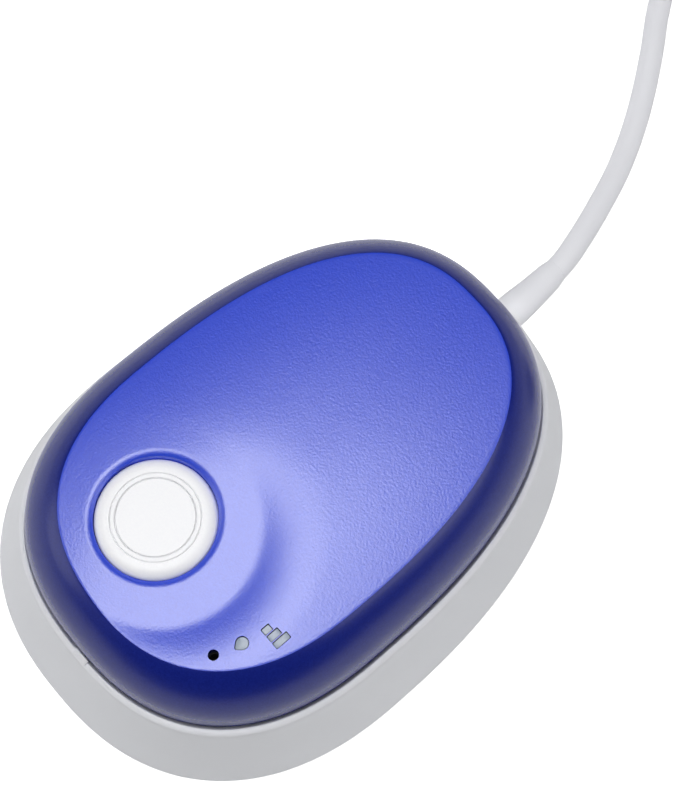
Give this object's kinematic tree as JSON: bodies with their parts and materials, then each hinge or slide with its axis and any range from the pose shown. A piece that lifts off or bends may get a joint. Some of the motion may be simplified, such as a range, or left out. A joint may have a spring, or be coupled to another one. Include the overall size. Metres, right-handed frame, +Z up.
{
  "type": "mobile medical alert device",
  "caption": "Pebble-shaped alert pendant with a round call button in a shallow dish, lying in a flared charging cradle with a cord, coil and flat power plug.",
  "frame": {"origin": "on the table, under the middle of the cradle's foot", "axes": "+Z up; +Y along the pendant's long axis, from the button end to the cord end; +X across, towards the microphone hole and the light windows"},
  "size_m": [0.0621, 0.1699, 0.0206],
  "materials": {
    "blue_lacquer": "satin metallic lacquer, finely grained on the top face",
    "white_plastic": "semi-gloss white",
    "black_rubber": "matt",
    "clear_plastic": "clear, slightly frosted at the windows",
    "lamp_resin": "clear resin",
    "circuit_board": "solder mask",
    "dark_plastic": "matt black",
    "steel": "tinned or plain steel",
    "ceramic": "fired ceramic",
    "gilt_metal": "gold plated",
    "cell_foil": "laminated pouch foil",
    "adhesive_pad": "double-sided pad",
    "cradle_plastic": "satin light grey",
    "cord_sheath": "soft vinyl",
    "wire_sheath": "vinyl insulation",
    "tie_strap": "woven hook-and-loop strap",
    "white_insert": "moulded insert"
  },
  "bodies": {
    "cradle": {"cradle_shell": "cradle_plastic", "cradle_base": "cradle_plastic", "cradle_feet": "black_rubber", "cradle_screws": "steel", "contact_board": "circuit_board", "pin_barrels": "gilt_metal", "strain_relief": "cord_sheath", "lead_wires": "wire_sheath", "cord_lead": "cord_sheath", "cord_coil": "cord_sheath", "cord_tail": "cord_sheath", "cord_tie": "tie_strap", "plug_grip": "cord_sheath", "plug_shell": "steel", "plug_tongue": "white_insert", "plug_contacts": "gilt_metal"},
    "pendant": {"front_cover": "blue_lacquer", "rear_cover": "blue_lacquer", "cover_gasket": "black_rubber", "button_seal": "black_rubber", "mic_boot": "black_rubber", "light_guide": "clear_plastic", "status_leds": "lamp_resin", "main_board": "circuit_board", "switch_body": "dark_plastic", "speaker": "dark_plastic", "speaker_mesh": "dark_plastic", "board_screws": "steel", "radio_shield": "steel", "microphone": "steel", "gps_antenna": "ceramic", "cell_antenna": "gilt_metal", "charge_contacts": "gilt_metal", "battery": "cell_foil", "battery_pad": "adhesive_pad"},
    "button": {"call_button": "white_plastic", "switch_plunger": "dark_plastic"},
    "pin_left": {"contact_pin_left": "gilt_metal"},
    "pin_right": {"contact_pin_right": "gilt_metal"}
  },
  "joints": [
    {"name": "pendant_lift", "type": "slide", "parent": "cradle", "child": "pendant", "axis": [0, 0, 1], "range_m": [0, 0.06]},
    {"name": "button_press", "type": "slide", "parent": "pendant", "child": "button", "axis": [0, 0, -1], "range_m": [0, 0.0006], "stiffness_N_per_m": 1500, "springref_m": -0.0006},
    {"name": "pin_left_press", "type": "slide", "parent": "cradle", "child": "pin_left", "axis": [0, 0, -1], "range_m": [0, 0.0005], "stiffness_N_per_m": 400, "springref_m": -0.0005},
    {"name": "pin_right_press", "type": "slide", "parent": "cradle", "child": "pin_right", "axis": [0, 0, -1], "range_m": [0, 0.0005], "stiffness_N_per_m": 400, "springref_m": -0.0005}
  ]
}
